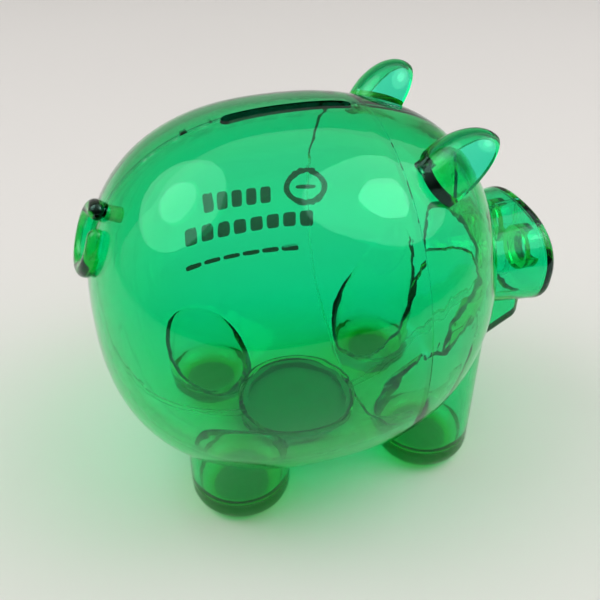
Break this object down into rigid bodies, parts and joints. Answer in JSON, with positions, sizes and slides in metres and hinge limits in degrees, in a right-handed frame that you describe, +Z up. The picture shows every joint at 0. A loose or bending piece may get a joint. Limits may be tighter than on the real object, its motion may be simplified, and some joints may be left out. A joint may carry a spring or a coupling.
{
  "type": "piggy bank",
  "caption": "See-through moulded pig money box with a coin slot in the back, hollow legs and a push-in belly stopper.",
  "frame": {"origin": "on the floor, under the middle of the whole pig's box", "axes": "+X from tail to snout, +Y to the pig's left, +Z up"},
  "size_m": [0.1352, 0.107, 0.1107],
  "materials": {
    "clear_green": "gloss",
    "soft_green": "satin"
  },
  "bodies": {
    "bank": {"body_shell_left": "clear_green", "body_shell_right": "clear_green", "head_shell_left": "clear_green", "head_shell_right": "clear_green", "ear_left": "clear_green", "ear_right": "clear_green", "tail": "clear_green"},
    "stopper": {"belly_plug": "soft_green"}
  },
  "joints": [
    {"name": "stopper_pull", "type": "slide", "parent": "bank", "child": "stopper", "axis": [0, 0, -1], "range_m": [0, 0.012]}
  ]
}
